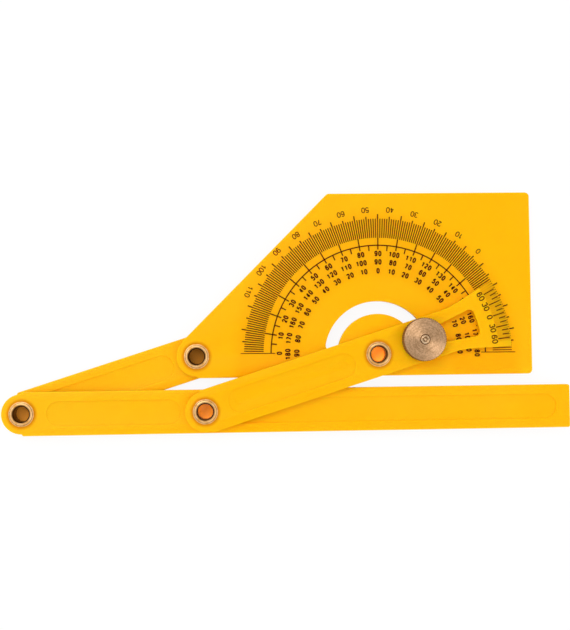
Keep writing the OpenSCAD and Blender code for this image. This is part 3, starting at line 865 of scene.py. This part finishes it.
class SQUARE_OT_mouldings(bpy.types.Operator):
    """Round the edges of the four plastic mouldings and give them their translucent yellow plastic"""

    bl_idname = "square.mouldings"
    bl_label = "Plastic Mouldings"

    def execute(self, context):
        settings = context.scene.square_moulding
        plastic = moulded_plastic("moulded_polystyrene", settings)
        printed_plastic = moulded_plastic("moulded_polystyrene_printed", settings, printed=True)
        tip_plastic = moulded_plastic("moulded_polystyrene_over_scale", settings, over_scale=True)
        for node, body, material in (
            ("protractor_plate", "plate", printed_plastic), ("pointer_arm", "arm", tip_plastic),
            ("long_blade", "blade", plastic), ("short_link", "link", plastic),
        ):
            mesh = rounded_copy(node, settings.edge_radius, settings.pocket_radius)
            seat(link_piece(mesh, material), body, "yellow_plastic", node)
        return {"FINISHED"}


class SQUARE_OT_scale_print(bpy.types.Operator):
    """Print the degree scale, its ring and its rows of numbers on the plate"""

    bl_idname = "square.scale_print"
    bl_label = "Scale Print"

    def execute(self, context):
        s = context.scene.square_scale
        ink = pad_ink("scale_ink", s.ink)
        tree = radial_tick_tree(ink)
        bm = bmesh.new()
        # Each series is its count, first angle and step in degrees, inner and outer radius, and line width
        for count, first, step, inner, outer, width in (
            (177, 3, 1, s.degree_from, s.degree_to, s.degree_w),
            (2, 1, 1, s.degree_from, s.degree_to, s.base_w),
            (35, 5, 5, s.degree_to, s.five_to, s.line_w),
            (2, 0, 180, s.ten_from, s.base_to, s.base_w),
            (17, 10, 10, s.five_to, s.ten_to, s.line_w),
            (17, 10, 10, s.ten_from, s.degree_from, s.line_w),
            (18, 5, 10, s.five_from, s.ring_r, s.line_w),
        ):
            lay_ticks(bm, tree, s.thickness, count, first * DEGREE, step * DEGREE, inner, outer, width)
        add_ribbon(bm, arc_points((0, 0), s.ring_r, 0, 180, 180), s.line_w, s.thickness)
        self.number_rows(bm, s)
        bmesh.ops.transform(
            bm, verts=bm.verts,
            matrix=Matrix.Translation((*s.shift, plate_top + PRINT_LIFT - s.thickness / 2))
            @ Matrix.Rotation(s.skew, 4, "Z"),
        )
        seat(link_piece(mesh_from(bm, "scale_print"), ink), "plate", "yellow_plastic")
        return {"FINISHED"}

    def number_rows(self, bm, s):
        """Three rows inside the ring, and one outside it that counts from the plate's 45 degree edge."""
        bold = (s.digit_h, s.digit_w, s.digit_pitch, s.digit_stroke)
        light = (s.digit_h, s.outer_w, s.outer_pitch, s.outer_stroke)
        for mark in range(0, 190, 10):
            # The numbers at this one mark sit straight, so that the arm covers them at rest
            straight = mark == s.straight_mark
            long_lag = 0.0 if straight else s.long_lag
            right_lag = 0.0 if straight or mark >= 90 else s.right_lag
            if mark == 0:
                right_lag = s.end_lag
            for value, radius, lag in (
                (180 - mark, s.row_a_r, 0.0), (mark, s.row_b_r, right_lag),
                (abs(90 - mark), s.row_c_r, right_lag),
            ):
                text = str(value)
                write_number(
                    bm, text, radius, mark * DEGREE, bold, s.thickness, long_lag if len(text) > 2 else lag
                )
        for value in range(0, 120, 10):
            text = str(value)
            write_number(
                bm, text, s.outer_r, (45 + value) * DEGREE, light, s.thickness,
                s.long_lag if len(text) > 2 else 0.0, inverted=True,
            )


class SQUARE_OT_vernier_print(bpy.types.Operator):
    """Print the vernier's ticks and numbers on the arm's bevelled tip"""

    bl_idname = "square.vernier_print"
    bl_label = "Vernier Print"

    def execute(self, context):
        s = context.scene.square_vernier
        thickness = context.scene.square_scale.thickness
        ink = pad_ink("vernier_ink", s.ink)
        tree = radial_tick_tree(ink)
        step = s.half_span / s.side_ticks
        first = arm_angle - s.half_span
        long_count = 2 * (s.side_ticks // s.long_step) + 1
        bm = bmesh.new()
        for count, turn, inner, outer in (
            (2 * s.side_ticks + 1, step, s.short_from, s.tick_to),
            (long_count, step * s.long_step, s.long_from, s.short_from),
        ):
            lay_ticks(bm, tree, thickness, count, first, turn, inner, outer, s.tick_w)
        lettering = (s.digit_h, s.digit_w, s.digit_pitch, s.digit_stroke)
        for i in range(-s.side_ticks, s.side_ticks + 1, s.long_step):
            write_number(bm, str(abs(i) * 10), s.digit_r, arm_angle + i * step, lettering, thickness)
        # The print lies on the tip's bevel, which falls away from its start to the edge
        slope = (arm_top - arm_low - s.tip_edge) / (s.tip_r - s.bevel_r)
        for vert in bm.verts:
            fall = slope * max(0.0, math.hypot(vert.co.x, vert.co.y) - s.bevel_r)
            vert.co.z += arm_top - fall + PRINT_LIFT - thickness / 2
        seat(link_piece(mesh_from(bm, "vernier_print"), ink), "arm", "yellow_plastic")
        return {"FINISHED"}


class SQUARE_OT_eyelets(bpy.types.Operator):
    """Roll the four hollow rivets and lay their washers"""

    bl_idname = "square.eyelets"
    bl_label = "Eyelets and Washers"

    def execute(self, context):
        settings = context.scene.square_eyelet
        for name, body, at in (
            ("centre", "plate", centre_at), ("heel", "plate", heel_at),
            ("blade", "blade", blade_at), ("apex", "blade", apex_at),
        ):
            brass = drawn_brass(name + "_brass", settings, at)
            self.roll_eyelet(settings, name, body, at, brass)
            self.lay_washer(settings, name, body, at, brass)
        return {"FINISHED"}

    def roll_eyelet(self, s, name, body, at, brass):
        """One hollow rivet, from the flat head on the back to the rolled lip on the front."""
        low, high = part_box(name + "_eyelet")
        head_r = (high.x - low.x) / 2
        lip_r = s.lip_d / 2
        washer_top = high.z - s.lip_h
        back = low.z + s.head_t
        barrel_r = bore_r + s.wall
        profile = (
            arc_points((bore_r + s.head_t, back), s.head_t, 180, 270, 6)
            + arc_points((head_r - s.rim_r, low.z + s.rim_r), s.rim_r, -90, 0, 6)
            + arc_points((head_r - s.rim_r / 2, back - s.rim_r / 2), s.rim_r / 2, 0, 90, 4)
            + [(barrel_r, back), (barrel_r, washer_top)]
            + arc_points((lip_r - s.tuck, washer_top + s.tuck), s.tuck, -90, 0, 4)
            + oval_points(
                (lip_r - s.lip_round, washer_top + s.tuck), s.lip_round, s.lip_h - s.tuck, 0, 90, 10
            )
            + arc_points((bore_r + s.flare_r, high.z - s.flare_r), s.flare_r, 90, 180, 14)
        )
        mesh = turned_mesh(name + "_eyelet_rolled", profile, at)
        seat(link_piece(mesh, brass), body, "eyelet_brass", name + "_eyelet")

    def lay_washer(self, s, name, body, at, brass):
        """One washer, with its outer edges rounded by the punch."""
        low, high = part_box(name + "_washer")
        outer = (high.x - low.x) / 2
        inner = bore_r + s.wall + s.slack
        profile = (
            [(inner, low.z)]
            + arc_points((outer - s.punch_r, low.z + s.punch_r), s.punch_r, -90, 0, 4)
            + arc_points((outer - s.punch_r, high.z - s.punch_r), s.punch_r, 0, 90, 5)
            + [(inner, high.z)]
        )
        mesh = turned_mesh(name + "_washer_punched", profile, at)
        seat(link_piece(mesh, brass), body, "eyelet_brass", name + "_washer")


class SQUARE_OT_thumb_nut(bpy.types.Operator):
    """Turn the thumb nut's body and knurl its side"""

    bl_idname = "square.thumb_nut"
    bl_label = "Thumb Nut"

    def execute(self, context):
        s = context.scene.square_nut
        bronze = turned_bronze("turned_bronze_nut", s, nut_at, s.bronze)
        low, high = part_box("thumb_nut")
        outer = (high.x - low.x) / 2
        root = outer - s.tooth_h
        hole_r, mouth_r = s.hole_d / 2, s.mouth_d / 2
        mouth_deep = mouth_r - hole_r
        root_rim = s.rim - s.tooth_h
        face_r = outer - s.rim
        # The face has many rings, so that its tool marks stretch the light evenly
        face_rings = 12
        profile = (
            [(hole_r, low.z + mouth_deep / 2), (hole_r + mouth_deep / 2, low.z), (face_r, low.z)]
            + [(root, low.z + root_rim), (root, high.z - root_rim)]
            + arc_points((face_r - s.edge_r, high.z - s.edge_r), s.edge_r, 30, 90, 4)
            + [(face_r - (face_r - mouth_r) * k / face_rings, high.z) for k in range(1, face_rings)]
            + [(mouth_r, high.z), (hole_r, high.z - mouth_deep)]
        )
        # The teeth sink a little into the body, and leave narrow roots between them
        sunk, filled = 0.02 * MM, 0.94
        pitch = FULL_TURN * root / s.tooth_count
        bm = bmesh.new()
        merge_mesh(bm, turned_mesh("nut_body", profile, nut_at, 120))
        merge_mesh(bm, grown_mesh("nut_teeth", knurl_tree(bronze), {
            "Count": s.tooth_count, "Root Radius": root - sunk, "Tooth Height": s.tooth_h,
            "Tooth Width": pitch * filled, "Length": high.z - low.z - 2 * root_rim, "Bevel": s.tooth_h,
            "Middle": (nut_at.x, nut_at.y, (low.z + high.z) / 2),
        }))
        piece = link_piece(mesh_from(bm, "thumb_nut_turned"), bronze, sharp_angle=30 * DEGREE)
        seat(piece, "nut", "turned_bronze", "thumb_nut")
        return {"FINISHED"}


class SQUARE_OT_lock_stud(bpy.types.Operator):
    """Turn the lock stud, with its flat head, its square neck and its dimpled end"""

    bl_idname = "square.lock_stud"
    bl_label = "Lock Stud"

    def execute(self, context):
        s = context.scene.square_nut
        # The stud takes the lighter copy of the bronze, a painted highlight on its end
        bronze = turned_bronze("turned_bronze_stud", s, nut_at, s.bright)
        low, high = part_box("lock_stud")
        r = s.stud_d / 2
        head_r = (high.x - low.x) / 2
        head_top = low.z + s.stud_head_t
        dimple_edge = 0.1 * MM
        profile = (
            [(0.0, low.z)]
            + arc_points((head_r - s.round_r, low.z + s.round_r), s.round_r, -90, 0, 5)
            + arc_points((head_r - s.round_r, head_top - s.round_r), s.round_r, 0, 90, 5)
            + [(r, head_top)]
            + arc_points((r - s.round_r, high.z - s.round_r), s.round_r, 0, 80, 6)
            + arc_points((s.dimple_d / 2 + dimple_edge, high.z - dimple_edge), dimple_edge, 90, 150, 3)
            + [(s.dimple_floor_d / 2, high.z - s.dimple_deep), (0.0, high.z - s.dimple_deep)]
        )
        bm = bmesh.new()
        merge_mesh(bm, turned_mesh("stud_body", profile, nut_at, 72))
        # The square neck is sunk a hair into the head, so that no gap shows
        sunk = 0.01 * MM
        neck_low, neck_top = head_top - sunk, arm_top - s.neck_below
        neck = bmesh.ops.create_cube(bm, size=1.0)["verts"]
        place = (
            Matrix.Translation((nut_at.x, nut_at.y, (neck_low + neck_top) / 2))
            @ Matrix.Rotation(arm_angle, 4, "Z")
            @ Matrix.Diagonal((s.stud_d, s.stud_d, neck_top - neck_low, 1))
        )
        bmesh.ops.transform(bm, matrix=place, verts=neck)
        piece = link_piece(mesh_from(bm, "lock_stud_turned"), bronze, sharp_angle=30 * DEGREE)
        seat(piece, "stud", "turned_bronze", "lock_stud")
        return {"FINISHED"}


class SQUARE_OT_stage(bpy.types.Operator):
    """Lay the pale floor, hang the soft lights and aim the camera"""

    bl_idname = "square.stage"
    bl_label = "Stage"

    def execute(self, context):
        s = context.scene.square_stage
        scene = context.scene
        self.lay_floor(s)
        self.light_world(scene, s)
        self.hang_light("key_light", s.key_at, s.lamp_d, s.key_power)
        self.hang_light("fill_light", s.fill_at, s.lamp_d, s.fill_power)
        self.aim_camera(scene, s)
        scene.view_settings.view_transform = "Standard"
        return {"FINISHED"}

    def lay_floor(self, s):
        """A wide sheet of paper just under the tool."""
        half = 3.0
        bm = bmesh.new()
        bmesh.ops.create_grid(bm, x_segments=1, y_segments=1, size=half)
        bmesh.ops.translate(bm, verts=bm.verts, vec=(0, 0, floor_z))
        link_piece(mesh_from(bm, "paper_floor"), paper_sheet("white_paper", s))

    def light_world(self, scene, s):
        """An even pale sky, which fills the shadows."""
        world = bpy.data.worlds.new("pale_room")
        world.use_nodes = True
        tree = world.node_tree
        tree.nodes.clear()
        sky = add_node(tree, "ShaderNodeBackground", {"Color": linear("#FFFFFF"), "Strength": s.sky})
        add_node(tree, "ShaderNodeOutputWorld", {"Surface": sky})
        scene.world = world

    def hang_light(self, name, place, size, watts):
        """One soft light that faces the middle of the tool."""
        data = bpy.data.lights.new(name, "AREA")
        data.shape = "DISK"
        data.size = size
        data.energy = watts
        light = bpy.data.objects.new(name, data)
        light.location = place
        light.rotation_euler = (-Vector(place)).to_track_quat("-Z", "Y").to_euler()
        bpy.context.scene.collection.objects.link(light)

    def aim_camera(self, scene, s):
        """The camera, placed so that the tool lies turned and tilted in front of it as in the photograph."""
        tilt = Matrix.Rotation(s.roll, 4, "Z")
        for angle, axis in ((s.tilt_y, "Y"), (s.tilt_x, "X")):
            tilt = tilt @ Matrix.Rotation(angle, 4, axis)
        aim = Matrix.Translation((s.aim_x, s.aim_y, -s.camera_distance))
        data = bpy.data.cameras.new("photo_camera")
        data.sensor_fit = "AUTO"
        data.sensor_width = 36.0
        data.lens = data.sensor_width * s.camera_distance / s.frame_height
        camera = bpy.data.objects.new("photo_camera", data)
        camera.matrix_world = (aim @ tilt).inverted()
        scene.collection.objects.link(camera)
        scene.camera = camera


class SQUARE_PT_pieces(bpy.types.Panel):
    """Sidebar panel that lists the tool's pieces"""

    bl_idname = "SQUARE_PT_pieces"
    bl_label = "Protractor Square"
    bl_space_type = "VIEW_3D"
    bl_region_type = "UI"
    bl_category = "Square"

    def draw(self, context):
        for operator in OPERATORS:
            self.layout.operator(operator.bl_idname)


SETTINGS = {
    "square_moulding": MouldingSettings,
    "square_scale": ScaleSettings,
    "square_vernier": VernierSettings,
    "square_eyelet": EyeletSettings,
    "square_nut": NutSettings,
    "square_stage": StageSettings,
}
OPERATORS = (
    SQUARE_OT_stage,
    SQUARE_OT_mouldings,
    SQUARE_OT_scale_print,
    SQUARE_OT_vernier_print,
    SQUARE_OT_eyelets,
    SQUARE_OT_thumb_nut,
    SQUARE_OT_lock_stud,
)


def register():
    for kind in (*SETTINGS.values(), *OPERATORS, SQUARE_PT_pieces):
        bpy.utils.register_class(kind)
    for name, kind in SETTINGS.items():
        setattr(bpy.types.Scene, name, PointerProperty(type=kind))


def unregister():
    for name in SETTINGS:
        delattr(bpy.types.Scene, name)
    for kind in (SQUARE_PT_pieces, *reversed(OPERATORS), *reversed(SETTINGS.values())):
        bpy.utils.unregister_class(kind)


def main():
    """Build every piece in order."""
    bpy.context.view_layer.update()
    register()
    bpy.ops.square.stage()
    bpy.ops.square.mouldings()
    bpy.ops.square.scale_print()
    bpy.ops.square.vernier_print()
    bpy.ops.square.eyelets()
    bpy.ops.square.thumb_nut()
    bpy.ops.square.lock_stud()


if __name__ == "__main__":
    main()
